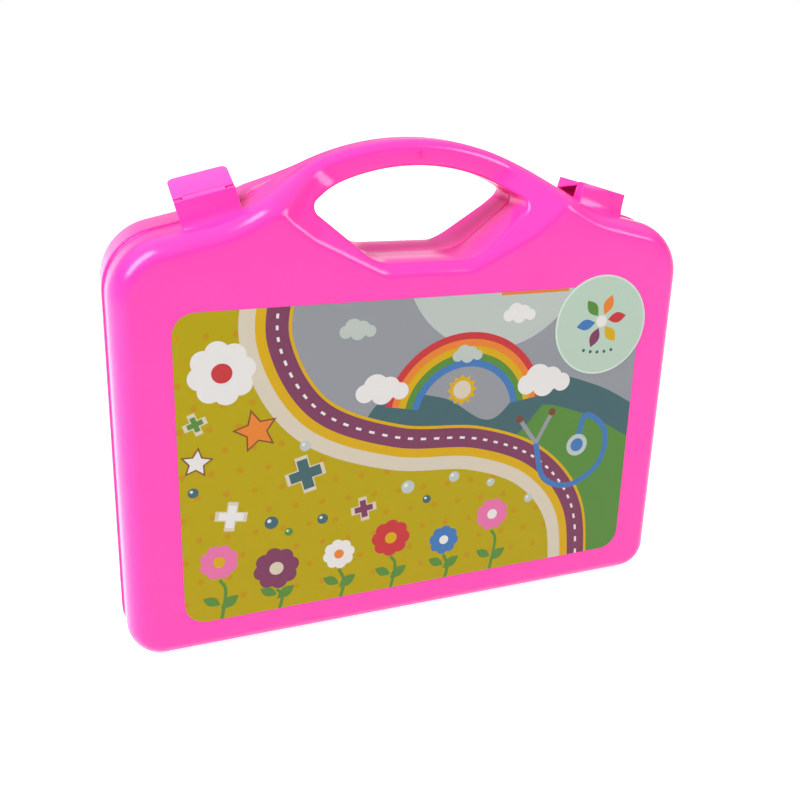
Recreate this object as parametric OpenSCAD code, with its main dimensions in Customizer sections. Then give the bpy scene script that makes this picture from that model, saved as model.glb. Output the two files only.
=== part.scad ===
// Toy carry case: two moulded half shells that meet at an upright parting line,
// each with half of an arched handle, hinged at the foot and held by two clips.
// The case stands on the XY plane, its width along X and its face towards -Y.

/* [Case] */
// Width across the side walls
case_w = 274.8; // [240:0.2:320]
// Height at which the shoulder line would meet the side wall
side_h = 188.6; // [160:0.2:210]
// Fall of the shoulders towards the sides, in degrees
shoulder_slope = 13.5; // [8:0.5:18]
// Depth of the front half, from the parting line to the face
front_d = 28.5; // [24:0.1:36]
// Depth of the back half, from the parting line to the back
back_d = 35.5; // [30:0.1:44]
// Wall thickness of the mouldings
wall = 1.8; // [1.4:0.1:2.4]
// Radius of the bottom corners
foot_r = 15.6; // [13:0.2:24]
// Radius of the shoulder corners
shoulder_r = 27.2; // [18:0.2:34]
// How far the rounding between side and face reaches in from the side
edge_in = 8.5; // [5:0.1:10]
// How far that rounding reaches along the depth
edge_back = 13.3; // [8:0.1:18]
// How far the bead along the parting line stands proud
bead_out = 0.8; // [0.4:0.1:1.4]
// Width of the bead on each half
bead_w = 1.7; // [1:0.1:3]
// Gap between the closed halves
seam_gap = 0.2; // [0.1:0.05:0.5]

/* [Handle] */
// Distance of each handle root from the middle
root_x = 87.6; // [80:0.2:94]
// Radius of the hollow curve between shoulder and handle
root_r = 60; // [30:1:80]
// Rise of the handle at its roots, in degrees
root_slope = 30; // [26:0.5:34]
// Radius of the arch along its top
arch_r = 120.5; // [100:0.5:135]
// Depth of each handle half at the grip
grip_d = 9; // [7:0.1:12]
// Rounding of the outer edge of the grip
grip_round = 5; // [2:0.1:6]

/* [Hand opening] */
// Depth of the flat floor of the opening below the handle roots
hole_drop = 20.6; // [18:0.2:26]
// Half width of the flat floor, to where its slopes would start
hole_floor_half = 23.9; // [18:0.1:28]
// Radius between the floor and its slopes
hole_floor_r = 20; // [8:1:26]
// Half width of the opening at its pointed ends
hole_half = 51; // [46:0.5:54]
// Height of the lower end corner above the floor
hole_end_low = 22.5; // [20:0.1:24]
// Height of the upper end corner above the floor
hole_end_high = 26.3; // [25.5:0.1:28]
// Radius of the end corners
hole_end_r = 3.4; // [1:0.1:3.6]
// Slope of the top of the opening at its ends, in degrees
hole_top_slope = 30.5; // [28:0.5:31]
// Radius of the top of the opening
hole_top_r = 96; // [88:1:96]
// Distance of the face's edge below the opening's floor
dip_floor = 4.5; // [3:0.1:8]
// Half width of the level part of that edge
dip_level_half = 21; // [17:0.5:24]
// Half width of the edge at its bend
dip_bend_half = 52; // [48:0.5:56]
// Height of the bend above the opening's floor
dip_bend_rise = 11.3; // [9:0.1:13]
// Half width of the edge where it reaches the handle's roots
dip_end_half = 64.7; // [62:0.1:68]
// Height of the edge there above the opening's floor
dip_end_rise = 21.4; // [19:0.1:23]
// Slope of the edge as it runs out over the roots, in degrees
dip_root_slope = 45; // [35:1:50]
// Radius of the edge at its bend
dip_bend_r = 26; // [18:1:30]
// Radius of the edge at the ends of its level part
dip_level_r = 12; // [6:1:20]
// How much lower the edge lies on the back than on the front
dip_back = 3.2; // [0:0.1:4]
// Width of the slope from the front face down to the grip
front_run = 24; // [18:0.5:30]
// Width of the slope from the back down to the grip
back_run = 20; // [15:0.5:24]

/* [Foot hinges] */
// Height of the hinge axis above the foot
hinge_z = 3.2; // [3:0.1:4]
// Distance of each hinge from the middle
hinge_x = 76; // [60:1:90]
// Length of each hinge
hinge_len = 46; // [36:1:60]
// Diameter of the hinge pins
pin_d = 3; // [2.4:0.1:3.6]
// Outer diameter of the knuckles
knuckle_d = 6.2; // [5.4:0.1:6.4]
// Clearance of the pins in the turning knuckles, on the radius
pin_play = 0.06; // [0.02:0.01:0.1]
// Clearance of the pins in the fixed knuckles, on the radius
pin_push = 0.02; // [0.01:0.01:0.03]
// Gap between knuckles, and between a knuckle and its pocket
knuckle_gap = 0.6; // [0.4:0.1:1]
// Half width of the groove along the foot that lets the halves swing open
groove_half = 9; // [8:0.5:11]

/* [Clips] */
// Distance of each clip's middle outside the handle root
clip_out = 8.6; // [6:0.2:20]
// Height of the clip's top edge above the shoulder line
clip_rise = 11.5; // [10.5:0.1:12]
// Tilt of the clips along the shoulders, in degrees
clip_tilt = 15; // [12:0.5:18]
// Turn of the clips' flaps towards the middle, in degrees
clip_toe = 4; // [0:0.5:5]
// Width of a clip
clip_w = 26; // [22:0.2:30]
// Distance of the clip's front from the parting line
clip_front = 13.5; // [12:0.5:17]
// Thickness of the post that carries the clip
post_t = 1.3; // [1:0.1:2]
// How much thicker the post gets towards its foot
post_foot = 1.7; // [0:0.1:2]
// Width of each ear beside the clip's barrel
ear_w = 3.5; // [3:0.1:4.5]
// Diameter of the clip's barrel
barrel_d = 3.2; // [2.8:0.1:3.6]
// Diameter of the stub pins at the barrel's ends
stub_d = 2; // [1.6:0.1:2.2]
// Length of each stub pin
stub_len = 2.6; // [2:0.1:2.8]
// Clearance of the stub pins in the ears, on the radius
stub_play = 0.06; // [0.02:0.01:0.1]
// Length of the flap behind the barrel
flap_len = 20; // [17:0.5:22]
// Wall of the flap
flap_t = 1.5; // [1.2:0.1:2]
// Radius of the flap's free corners
flap_r = 3; // [1.8:0.1:4]
// Depth of the flap's side skirts at its free end
skirt = 4.6; // [2:0.1:6]
// Reach of the flap's hook below the barrel's axis
hook_drop = 7.2; // [6:0.1:7.8]
// Width of the hook
hook_w = 18; // [12:0.5:20]
// Gap between the hook and the catch ridge, before the last snap
hook_gap = 0.25; // [0.1:0.05:0.5]
// Thickness of the catch ridge from front to back
catch_t = 2.4; // [1.6:0.1:4]
// Gap between the flap and the post and ears
flap_gap = 0.4; // [0.3:0.05:0.8]
// How far the left flap stands up, in degrees
left_lift = 19; // [0:1:40]
// How far the ears reach past the stub pins
ear_rim = 1; // [0.8:0.1:1.2]

/* [Labels] */
// Width of the front label
label_w = 230; // [200:1:240]
// Height of the front label
label_h = 146; // [120:1:150]
// Radius of the label's corners
label_r = 10; // [4:0.5:16]
// Height of the label's middle above the foot
label_z = 91.1; // [84:0.1:94]
// Shift of the label to the right
label_x = 0.5; // [-2:0.1:2]
// Turn of the label as it was stuck on, in degrees
label_turn = -0.34; // [-1:0.02:1]
// Thickness of the label's film
film = 0.2; // [0.1:0.05:0.3]
// Diameter of the round sticker
round_d = 51; // [40:0.5:60]
// Place of the round sticker's middle to the right of the case's middle
round_x = 91.8; // [80:0.1:100]
// Height of the round sticker's middle above the foot
round_z = 145.2; // [130:0.1:150]

/* [Hidden] */
$fn = 48;
pink = [1, 0.31, 0.71];
label_colour = [0.75, 0.72, 0.2];
mint = [0.72, 0.85, 0.8];

// Steps along the arcs and the paths of the outline
foot_steps = 7;
shoulder_steps = 8;
root_steps = 3;
edge_steps = 5;

// The parting plane lies so that the whole case is centred over the origin
parting_y = (front_d + 2 * film - back_d) / 2;
half_w = case_w / 2;
root_z = side_h + (half_w - root_x) * tan(shoulder_slope);
apex_z = root_z + root_x * tan(root_slope);
hole_z = root_z - hole_drop;
clip_x = root_x + clip_out;
clip_z = side_h + (half_w - clip_x) * tan(shoulder_slope) + clip_rise;
skin = seam_gap / 2;

function flat(p) = [p[0], p[1]];
function unit(v) = v / norm(v);
function blend(a, b, t) = a + (b - a) * t;
function flip(p) = [-p[0], p[1], -p[2], p[3]];
function reversed(list) = [for (i = [len(list) - 1:-1:0]) list[i]];

// Arc that rounds corner b between a and c, as points with outward normals.
// The path runs anticlockwise, so a corner that turns left bulges outward.
function rounded(a, b, c, r, steps) =
    let (
        u = unit(a - b),
        w = unit(c - b),
        half = acos(u * w) / 2,
        centre = b + unit(u + w) * r / sin(half),
        from = b + u * r / tan(half) - centre,
        to = b + w * r / tan(half) - centre,
        start = atan2(from[1], from[0]),
        turn = (atan2(to[1], to[0]) - start + 540) % 360 - 180,
        out = turn > 0 ? 1 : -1
    )
    [for (i = [0:steps])
        let (angle = start + turn * i / steps, way = [cos(angle), sin(angle)])
        concat(centre + r * way, out * way)];

// Right half of the edge where the front face breaks off towards the opening
dip_z = hole_z - dip_floor;
dip_start = [dip_end_half, hole_z + dip_end_rise];
dip_bend = [dip_bend_half, hole_z + dip_bend_rise];
dip_corner = [dip_level_half, dip_z];
dip_half = concat(
    [dip_start],
    [for (p = rounded(dip_start, dip_bend, dip_corner, dip_bend_r, 4)) flat(p)],
    [blend(dip_bend, dip_corner, 0.45), blend(dip_bend, dip_corner, 0.7)],
    [for (p = rounded(dip_bend, dip_corner, [0, dip_z], dip_level_r, 3)) flat(p)],
    [[dip_level_half / 2, dip_z], [0, dip_z]]
);
dip_path = concat(
    [dip_start + root_r * [cos(dip_root_slope), sin(dip_root_slope)]],
    dip_half
);

// Distance from a point of either half of the handle to the edge's path
function to_dip(p, drop) =
    let (q = [abs(p[0]), p[1] + drop])
    min([for (i = [0:len(dip_path) - 2])
        let (
            a = dip_path[i],
            b = dip_path[i + 1],
            share = (q - a) * (b - a) / ((b - a) * (b - a))
        )
        norm(q - blend(a, b, min(1, max(0, share))))]);

// Right half of the outline at the parting line, from the foot to the crown
foot_corner = [half_w, 0];
side_corner = [half_w, side_h];
root_corner = [root_x, root_z];
apex = [0, apex_z];
root_arc = rounded(side_corner, root_corner, apex, root_r, root_steps);
grip_from = 71;
arch_steps = len(dip_half) - 3;
arch_arc = rounded(root_corner, apex, [-root_x, root_z], arch_r, 2 * arch_steps);
rise = unit(apex - root_corner);
grip_start = root_corner + rise * (root_x - grip_from) / rise[0] * -1;
root_line = [
    for (t = [0, 0.5]) concat(blend(grip_start, flat(arch_arc[0]), t), flat_normal(rise))
];
function flat_normal(way) = [way[1], -way[0]];
outline_half = concat(
    rounded([0, 0], foot_corner, side_corner, foot_r, foot_steps),
    rounded(foot_corner, side_corner, root_corner, shoulder_r, shoulder_steps),
    root_arc,
    root_line,
    [for (i = [0:arch_steps]) arch_arc[i]]
);
half_count = len(outline_half);
outline = concat(
    outline_half,
    reversed([for (i = [0:half_count - 2]) flip(outline_half[i])])
);
grip_index = half_count - 1 - (len(dip_half) - 1);
dips = concat(
    [for (i = [0:half_count - 1]) i < grip_index ? undef : dip_half[i - grip_index]],
    reversed([for (i = [0:half_count - 2])
        i < grip_index ? undef : [-dip_half[i - grip_index][0], dip_half[i - grip_index][1]]])
);

// Outline of the hand opening, anticlockwise, grown by a margin
function opening(grow) =
    let (
        floor_corner = [hole_floor_half, hole_z],
        low = [hole_half, hole_z + hole_end_low],
        high = [hole_half, hole_z + hole_end_high],
        top = [0, high[1] + hole_half * tan(hole_top_slope)],
        right = concat(
            rounded([0, hole_z], floor_corner, low, hole_floor_r, 5),
            rounded(floor_corner, low, high, hole_end_r, 3),
            rounded(low, high, top, hole_end_r, 3),
            [for (i = [0:8]) rounded(high, top, [-hole_half, high[1]], hole_top_r, 16)[i]]
        ),
        all = concat(right, reversed([for (i = [0:len(right) - 2]) flip(right[i])]))
    )
    [for (p = all) flat(p) + grow * [p[2], p[3]]];

// One point's way from the parting line over the edge rounding to the face,
// as [x, depth, z]. Points of the grip end on the slope down to the opening.
function way(i, depth, run, drop, inset, start) =
    let (
        p = flat(outline[i]),
        n = [outline[i][2], outline[i][3]],
        dip = dips[i] == undef ? undef : dips[i] - [0, drop],
        grip = grip_d - inset,
        reach = dip == undef ? 0 : to_dip(p - grip_round * n, drop),
        share = dip == undef ? 1 : max(0, 1 - reach / run),
        level = blend(grip, depth, share),
        r_in = blend(grip_round, edge_in, share),
        r_back = min(level - 1, blend(grip_round, edge_back, share)),
        edge = p - (inset + r_in) * n,
        foot_share = dip == undef ? 0.5 : min(0.85, max(0.15, 1 - run / max(reach, 0.1))),
        goal = dip == undef ? edge - 2.4 * n : dip - [0, inset / 2],
        foot = blend(edge, goal, foot_share),
        foot_level = share > 0 ? blend(level, depth, foot_share) : grip
    )
    concat(
        [[p[0] - inset * n[0], start, p[1] - inset * n[1]]],
        [for (k = [0:edge_steps])
            let (
                turn = 90 * k / edge_steps,
                at = p - (inset + r_in * (1 - cos(turn))) * n
            )
            [at[0], level - r_back * (1 - sin(turn)), at[1]]],
        [[foot[0], foot_level, foot[1]], [goal[0], depth, goal[1]]]
    );

// Solid of one half, closed at the parting line: inset 0 is its outside,
// and an inset of the wall thickness is its inside
module half_form(depth, run, drop, inset, start) {
    count = len(outline);
    ways = [for (i = [0:count - 1]) way(i, depth - inset, run, drop, inset, start)];
    rings = len(ways[0]);
    points = [for (k = [0:rings - 1]) for (i = [0:count - 1])
        [ways[i][k][0], -ways[i][k][1], ways[i][k][2]]];
    sides = [for (k = [0:rings - 2]) for (i = [0:count - 1])
        let (
            a = k * count + i,
            b = k * count + (i + 1) % count,
            c = b + count,
            d = a + count
        )
        each [[a, d, c], [a, c, b]]];
    parting = [[for (i = [0:count - 1]) i]];
    face = [[for (i = [count - 1:-1:0]) (rings - 1) * count + i]];
    polyhedron(points = points, faces = concat(parting, sides, face));
}

// Plate with the given XZ outline between two distances from the parting line
module upright(from, to) {
    translate([0, to, 0])
        rotate([90, 0, 0])
            linear_extrude(to - from)
                children();
}

// Bead along the parting line; past the handle's roots it runs on inside the wall
root_from = foot_steps + shoulder_steps + root_steps;
module bead() {
    count = len(outline);
    upright(-bead_w, -skin)
        polygon([for (i = [0:count - 1])
            let (
                from_end = min(i, count - 1 - i),
                size = from_end < root_from ? bead_out : -wall / 2,
                at = flat(outline[i]) + size * [outline[i][2], outline[i][3]]
            )
            [at[0], max(0, at[1])]]);
}

// Room inside one half: it leaves walls all round, also round the hand opening
// and over the groove of the foot hinges
groove_top = hinge_z + knuckle_d / 2 + knuckle_gap;
module room(depth, run, drop) {
    difference() {
        half_form(depth, run, drop, wall, -1);
        upright(-depth - 1, 2)
            polygon(opening(wall));
        translate([-half_w, -groove_half - wall, -1])
            cube([case_w, groove_half + wall + 2, groove_top + wall + 1]);
    }
}

// One half of the case with its opening and groove, its face towards -Y;
// the children stand on it and are trimmed to its inside
module half_shell(depth, run, drop) {
    resize([0, 0, 0])
    difference() {
        union() {
            half_form(depth, run, drop, 0, skin);
            bead();
            children();
        }
        room(depth, run, drop);
        upright(-depth - 1, 2)
            polygon(opening(0));
        translate([-half_w - 1, -groove_half, -1])
            cube([case_w + 2, 2 * groove_half, groove_top + 1]);
    }
}

// Knuckles of both foot hinges that belong to one half, on its side of the
// parting plane; the odd ones hold the pins and the even ones turn on them
knuckles = 5;
knuckle_step = (hinge_len + knuckle_gap) / knuckles;
knuckle_len = knuckle_step - knuckle_gap;
web_h = groove_top - hinge_z + wall / 2;
module foot_knuckles(first, play) {
    for (side = [-1, 1])
        for (n = [first:2:knuckles - 1])
            translate([side * hinge_x - hinge_len / 2 + n * knuckle_step, 0, 0])
                difference() {
                    union() {
                        translate([0, 0, hinge_z])
                            rotate([0, 90, 0])
                                cylinder(h = knuckle_len, d = knuckle_d);
                        translate([0, -knuckle_d / 2, hinge_z])
                            cube([knuckle_len, knuckle_d / 2 - 2 * skin, web_h]);
                    }
                    translate([-1, 0, hinge_z])
                        rotate([0, 90, 0])
                            cylinder(h = knuckle_len + 2, d = pin_d + 2 * play);
                }
}

// Pin of one foot hinge
module foot_pin(side) {
    translate([side * hinge_x - hinge_len / 2, 0, hinge_z])
        rotate([0, 90, 0])
            cylinder(h = hinge_len, d = pin_d);
}

// Places its children at the top edge of the right clip, their X along the
// shoulder and their Z square to it, turned about the middle of the clip's front
module at_clip() {
    translate([clip_x, 0, clip_z])
        rotate([0, clip_tilt, 0])
            translate([0, -clip_front, 0])
                rotate([0, 0, clip_toe])
                    translate([0, clip_front, 0])
                        children();
}

// The clip's axis lies behind the post and one ear's radius below its top edge
ear_r = stub_d / 2 + ear_rim;
axis_y = post_t + flap_gap + barrel_d / 2 - clip_front;
inner_half = clip_w / 2 - ear_w;
post_deep = 11.6;
ridge_deep = 16;

// Post and ears that carry one clip, down into the front half's shoulder
module clip_post() {
    at_clip()
        difference() {
            union() {
                translate([-clip_w / 2, -clip_front, 0])
                    rotate([90, 0, 90])
                        linear_extrude(clip_w)
                            polygon([
                                [0, 0],
                                [-post_foot, -post_deep],
                                [post_t, -post_deep],
                                [post_t, 0]
                            ]);
                for (side = [-1, 1])
                    translate([side * (clip_w - ear_w) / 2, 0, 0]) {
                        translate([-ear_w / 2, -clip_front, -post_deep])
                            cube([ear_w, axis_y + clip_front, post_deep]);
                        translate([-ear_w / 2, axis_y - 1, -post_deep])
                            cube([ear_w, ear_r + 1, post_deep - ear_r]);
                        translate([-ear_w / 2, axis_y, -ear_r])
                            rotate([0, 90, 0])
                                cylinder(h = ear_w, r = ear_r);
                    }
            }
            for (side = [-1, 1])
                translate([side * (inner_half - 1), axis_y, -ear_r])
                    rotate([0, side * 90, 0])
                        cylinder(h = stub_len + 1.2, d = stub_d + 2 * stub_play);
        }
}

// Ridge on the back half's shoulder that the right clip's hook snaps over
catch_top = -ear_r - hook_drop - hook_gap;
module catch_ridge() {
    at_clip()
        translate([-hook_w / 2 - 1, axis_y + flap_len - catch_t, -ridge_deep])
            cube([hook_w + 2, catch_t, ridge_deep + catch_top]);
}

// Right clip, closed, in the frame of at_clip with its axis at the origin
flap_from = ear_r + flap_gap + 0.2;
module flap() {
    top = barrel_d / 2;
    rotate([0, 90, 0]) {
        translate([0, 0, -inner_half + flap_gap])
            cylinder(h = 2 * (inner_half - flap_gap), d = barrel_d);
        translate([0, 0, -inner_half + flap_gap - stub_len])
            cylinder(h = 2 * (inner_half - flap_gap + stub_len), d = stub_d);
    }
    translate([-inner_half + flap_gap, 0, top - flap_t])
        cube([2 * (inner_half - flap_gap), flap_from + 1, flap_t]);
    difference() {
        union() {
            translate([-clip_w / 2, flap_from, top - flap_t])
                cube([clip_w, flap_len - flap_from, flap_t]);
            for (side = [-1, 1])
                translate([side * (clip_w - flap_t) / 2 - flap_t / 2, 0, 0])
                    rotate([90, 0, 90])
                        linear_extrude(flap_t)
                            polygon([
                                [flap_from, top - flap_t],
                                [flap_len, top - flap_t - skirt],
                                [flap_len, top],
                                [flap_from, top]
                            ]);
            translate([-clip_w / 2, flap_len - flap_t, top - flap_t - skirt])
                cube([clip_w, flap_t, flap_t + skirt]);
            translate([-hook_w / 2, flap_len - flap_t, -hook_drop])
                cube([hook_w, flap_t, hook_drop + top]);
        }
        for (side = [-1, 1])
            translate([side * (clip_w / 2 - flap_r), flap_len - flap_r, -hook_drop - 1])
                difference() {
                    translate([side > 0 ? 0 : -flap_r - 1, 0, 0])
                        cube([flap_r + 1, flap_r + 1, hook_drop + top + 2]);
                    translate([0, 0, -1])
                        cylinder(h = hook_drop + top + 4, r = flap_r);
                }
    }
}

module clip(lift) {
    at_clip()
        translate([0, axis_y, -ear_r])
            rotate([lift, 0, 0])
                flap();
}

module label_plate() {
    translate([label_x, -front_d, label_z])
        rotate([90, label_turn, 0])
            union() {
                cube_w = label_w - 2 * label_r;
                cube_h = label_h - 2 * label_r;
                translate([-label_w / 2, -cube_h / 2, 0])
                    cube([label_w, cube_h, film]);
                translate([-cube_w / 2, -label_h / 2, 0])
                    cube([cube_w, label_h, film]);
                for (x = [-1, 1])
                    for (z = [-1, 1])
                        translate([x * cube_w / 2, z * cube_h / 2, 0])
                            cylinder(h = film, r = label_r);
            }
}

// Sub-parts

module back_shell() {
    color(pink)
        translate([0, parting_y, 0])
            mirror([0, 1, 0]) {
                half_shell(back_d, back_run, dip_back) {
                    mirror([0, 1, 0])
                        catch_ridge();
                    mirror([1, 0, 0])
                        mirror([0, 1, 0])
                            catch_ridge();
                }
                foot_knuckles(0, pin_push);
            }
}

module front_shell() {
    color(pink)
        translate([0, parting_y, 0]) {
            half_shell(front_d, front_run, 0);
            foot_knuckles(1, pin_play);
            clip_post();
            mirror([1, 0, 0])
                clip_post();
        }
}

module hinge_pin_left() {
    color(pink)
        translate([0, parting_y, 0])
            foot_pin(-1);
}

module hinge_pin_right() {
    color(pink)
        translate([0, parting_y, 0])
            foot_pin(1);
}

module clip_left() {
    color(pink)
        translate([0, parting_y, 0])
            mirror([1, 0, 0])
                clip(left_lift);
}

module clip_right() {
    color(pink)
        translate([0, parting_y, 0])
            clip(0);
}

module front_label() {
    color(label_colour)
        translate([0, parting_y, 0])
            label_plate();
}

module round_sticker() {
    color(mint)
        translate([0, parting_y, 0])
            difference() {
                translate([round_x, -front_d, round_z])
                    rotate([90, 0, 0])
                        cylinder(h = 2 * film, d = round_d, $fn = 96);
                label_plate();
            }
}

back_shell();
front_shell();
hinge_pin_left();
hinge_pin_right();
clip_left();
clip_right();
front_label();
round_sticker();
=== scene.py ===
"""Looks of the toy carry case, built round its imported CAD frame.

Lengths in the building functions are millimetres. A half is built as if its parting
plane were Y = 0: depth is the distance from that plane, and the front half's depth
points to -Y. place() turns such points into the row frame in metres.
"""

import math

import bmesh
import bpy
import numpy as np
from mathutils import Matrix, Vector
from mathutils.geometry import delaunay_2d_cdt


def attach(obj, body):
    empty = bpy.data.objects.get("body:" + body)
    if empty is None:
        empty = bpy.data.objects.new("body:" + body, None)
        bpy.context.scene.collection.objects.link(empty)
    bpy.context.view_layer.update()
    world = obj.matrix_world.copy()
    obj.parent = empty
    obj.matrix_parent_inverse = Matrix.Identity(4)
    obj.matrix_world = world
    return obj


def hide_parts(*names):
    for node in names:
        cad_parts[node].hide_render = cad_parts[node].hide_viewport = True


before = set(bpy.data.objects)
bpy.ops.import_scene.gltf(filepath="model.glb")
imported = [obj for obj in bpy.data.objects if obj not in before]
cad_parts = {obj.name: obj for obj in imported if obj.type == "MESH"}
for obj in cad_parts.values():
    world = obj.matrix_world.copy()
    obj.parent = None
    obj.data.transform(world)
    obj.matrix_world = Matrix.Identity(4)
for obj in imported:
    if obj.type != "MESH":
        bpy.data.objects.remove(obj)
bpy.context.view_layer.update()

# Sizes of the case, in millimetres and degrees
MM = 0.001
PARTING = -3.3
SKIN = 0.28
SEAM = 0.35
WALL = 1.8
FRONT = {"side": -1, "depth": 28.5, "run": 24.0, "drop": 0.0}
BACK = {"side": 1, "depth": 35.5, "run": 20.0, "drop": 3.2}
HALF_W = 137.4
SIDE_H = 188.6
SLOPE = 13.5
ROOT_X = 87.6
ROOT_SLOPE = 30.0
ROOT_Z = SIDE_H + (HALF_W - ROOT_X) * math.tan(math.radians(SLOPE))
APEX_Z = ROOT_Z + ROOT_X * math.tan(math.radians(ROOT_SLOPE))
HOLE_Z = ROOT_Z - 20.6
GRIP_D, GRIP_ROUND = 9.0, 5.0
EDGE_IN, EDGE_BACK = 8.5, 13.3
BEAD_OUT, BEAD_W = 0.8, 1.7
GROOVE_HALF, GROOVE_TOP = 9.0, 6.9
HINGE_Z, HINGE_X, HINGE_LEN = 3.2, 76.0, 46.0
KNUCKLES, KNUCKLE_D, KNUCKLE_GAP = 5, 6.2, 0.6
FOOT_R, SHOULDER_R, ROOT_R = 15.6, 27.2, 60.0
ARCH_R, ARCH_STEPS = 120.5, 60
HOLE = {"floor": 23.9, "half": 51.0, "slope": 30.5, "low": 22.5, "high": 26.3}
HOLE_FLOOR_R, HOLE_END_R, HOLE_TOP_R, HOLE_STEPS = 20.0, 3.4, 96.0, 40
LABEL = {"x": 0.5, "z": 91.1, "w": 227.6, "h": 147.0, "r": 10.0, "turn": 0.34}
STICKER = {"x": 91.8, "z": 145.2, "r": 25.5, "turn": -3.0}
LABEL_FRONT, STICKER_FRONT, FILM_BACK = 0.2, 0.395, 0.01
GATE = (0.0, 226.3)


def place(points, side):
    """Points (x, depth, z) of the half on that side, in the row frame in metres."""
    p = np.asarray(points, float).reshape(-1, 3)
    return np.stack([p[:, 0], PARTING + side * p[:, 1], p[:, 2]], 1) * MM


def unit(v):
    v = np.asarray(v, float)
    return v / np.linalg.norm(v)


def rounded(a, b, c, r, steps):
    """Arc that rounds corner b, as rows (x, z, normal x, normal z)."""
    a, b, c = (np.asarray(p, float) for p in (a, b, c))
    u, w = unit(a - b), unit(c - b)
    half = math.acos(float(np.clip(u @ w, -1, 1))) / 2
    centre = b + unit(u + w) * r / math.sin(half)
    start = b + u * r / math.tan(half) - centre
    end = b + w * r / math.tan(half) - centre
    first = math.atan2(start[1], start[0])
    turn = (math.atan2(end[1], end[0]) - first + 3 * math.pi) % (2 * math.pi) - math.pi
    out = 1 if turn > 0 else -1
    rows = []
    for i in range(steps + 1):
        t = first + turn * i / steps
        way = np.array([math.cos(t), math.sin(t)])
        rows.append([*(centre + r * way), *(out * way)])
    return np.array(rows)


def filled(rows, gap):
    """The rows with points added on each stretch that is longer than gap."""
    out = [rows[0]]
    for a, b in zip(rows[:-1], rows[1:]):
        n = max(1, int(math.ceil(np.linalg.norm(b[:2] - a[:2]) / gap)))
        for k in range(1, n + 1):
            row = a + (b - a) * k / n
            row[2:] = unit(row[2:])
            out.append(row)
    return np.array(out)


def mirrored(rows):
    """A right half from the foot or floor to the top, closed with its mirror image."""
    left = rows[1:-1][::-1] * [-1, 1, -1, 1]
    return np.vstack([rows, left])


def at_height(rows, z):
    """The rows with a point added where the path first passes height z."""
    for i in range(len(rows) - 1):
        if rows[i][1] < z - 1e-6 and rows[i + 1][1] > z + 1e-6:
            t = (z - rows[i][1]) / (rows[i + 1][1] - rows[i][1])
            row = rows[i] + (rows[i + 1] - rows[i]) * t
            row[2:] = unit(row[2:])
            return np.vstack([rows[: i + 1], row, rows[i + 1 :]])
    return rows


def outline(fine, inset=0.0):
    """The case's outline at the parting plane, anticlockwise from the foot's middle."""
    corner, side, root = [HALF_W, 0], [HALF_W, SIDE_H], [ROOT_X, ROOT_Z]
    apex = [0, APEX_Z]
    half_arch = int(ARCH_STEPS * fine)
    arch = rounded(root, apex, [-ROOT_X, ROOT_Z], ARCH_R, 2 * half_arch)
    rows = np.vstack(
        [
            [[0, 0, 0, -1]],
            rounded([0, 0], corner, side, FOOT_R, int(24 * fine)),
            rounded(corner, side, root, SHOULDER_R, int(32 * fine)),
            rounded(side, root, apex, ROOT_R, int(14 * fine)),
            arch[: half_arch + 1],
        ]
    )
    rows[-1, 0] = 0
    rows[-1, 2:] = [0, 1]
    rows = filled(rows, 4.0 / fine)
    rows = at_height(rows, GROOVE_TOP + inset)
    rows = mirrored(rows)
    rows[:, :2] -= inset * rows[:, 2:]
    return rows


def opening(fine, grow=0.0):
    """The hand opening's outline, anticlockwise from the middle of its floor."""
    floor, half = [HOLE["floor"], HOLE_Z], HOLE["half"]
    low, high = [half, HOLE_Z + HOLE["low"]], [half, HOLE_Z + HOLE["high"]]
    top = [0, high[1] + half * math.tan(math.radians(HOLE["slope"]))]
    half_top = int(HOLE_STEPS * fine)
    upper = rounded(high, top, [-half, high[1]], HOLE_TOP_R, 2 * half_top)
    rows = np.vstack(
        [
            [[0, HOLE_Z, 0, -1]],
            rounded([0, HOLE_Z], floor, low, HOLE_FLOOR_R, int(14 * fine)),
            rounded(floor, low, high, HOLE_END_R, int(10 * fine)),
            rounded(low, high, top, HOLE_END_R, int(10 * fine)),
            upper[: half_top + 1],
        ]
    )
    rows[-1, 0] = 0
    rows[-1, 2:] = [0, 1]
    rows = mirrored(filled(rows, 2.0 / fine))
    rows[:, :2] += grow * rows[:, 2:]
    return rows


# The line where the face breaks off round the hand opening, right half from the outline inwards
DIP_Z = HOLE_Z - 4.5
DIP_END, ABOVE_ALL = 76, 320
DIP_BEND_R, DIP_LEVEL_R = 24.0, 12.0
dip_start, dip_turn = [DIP_END, HOLE_Z + 33], [62, HOLE_Z + 19]
dip_bend, dip_corner = [52, HOLE_Z + 11.3], [21, DIP_Z]
DIP = np.vstack(
    [
        [dip_start],
        rounded(dip_start, dip_turn, dip_bend, DIP_BEND_R, 8)[:, :2],
        rounded(dip_turn, dip_bend, dip_corner, DIP_BEND_R, 10)[:, :2],
        rounded(dip_bend, dip_corner, [0, DIP_Z], DIP_LEVEL_R, 10)[:, :2],
        [[0, DIP_Z]],
    ]
)
DIP = np.vstack([DIP, DIP[:-1][::-1] * [-1, 1]])
DIP_SIDE = np.vstack([DIP, [[-DIP_END, ABOVE_ALL], [DIP_END, ABOVE_ALL]]])
# How far the slope's upper and lower edges are rounded on either side
SLOPE_TOP_SOFT, SLOPE_FOOT_SOFT = 1.7, 6.0


def inside(points, loop):
    """Which points lie inside the closed loop."""
    x, z = points[:, 0], points[:, 1]
    result = np.zeros(len(points), bool)
    a, b = loop, np.roll(loop, -1, 0)
    for (ax, az), (bx, bz) in zip(a, b):
        if az == bz:
            continue
        cross = (az > z) != (bz > z)
        result ^= cross & (x < (bx - ax) * (z - az) / (bz - az) + ax)
    return result


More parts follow.
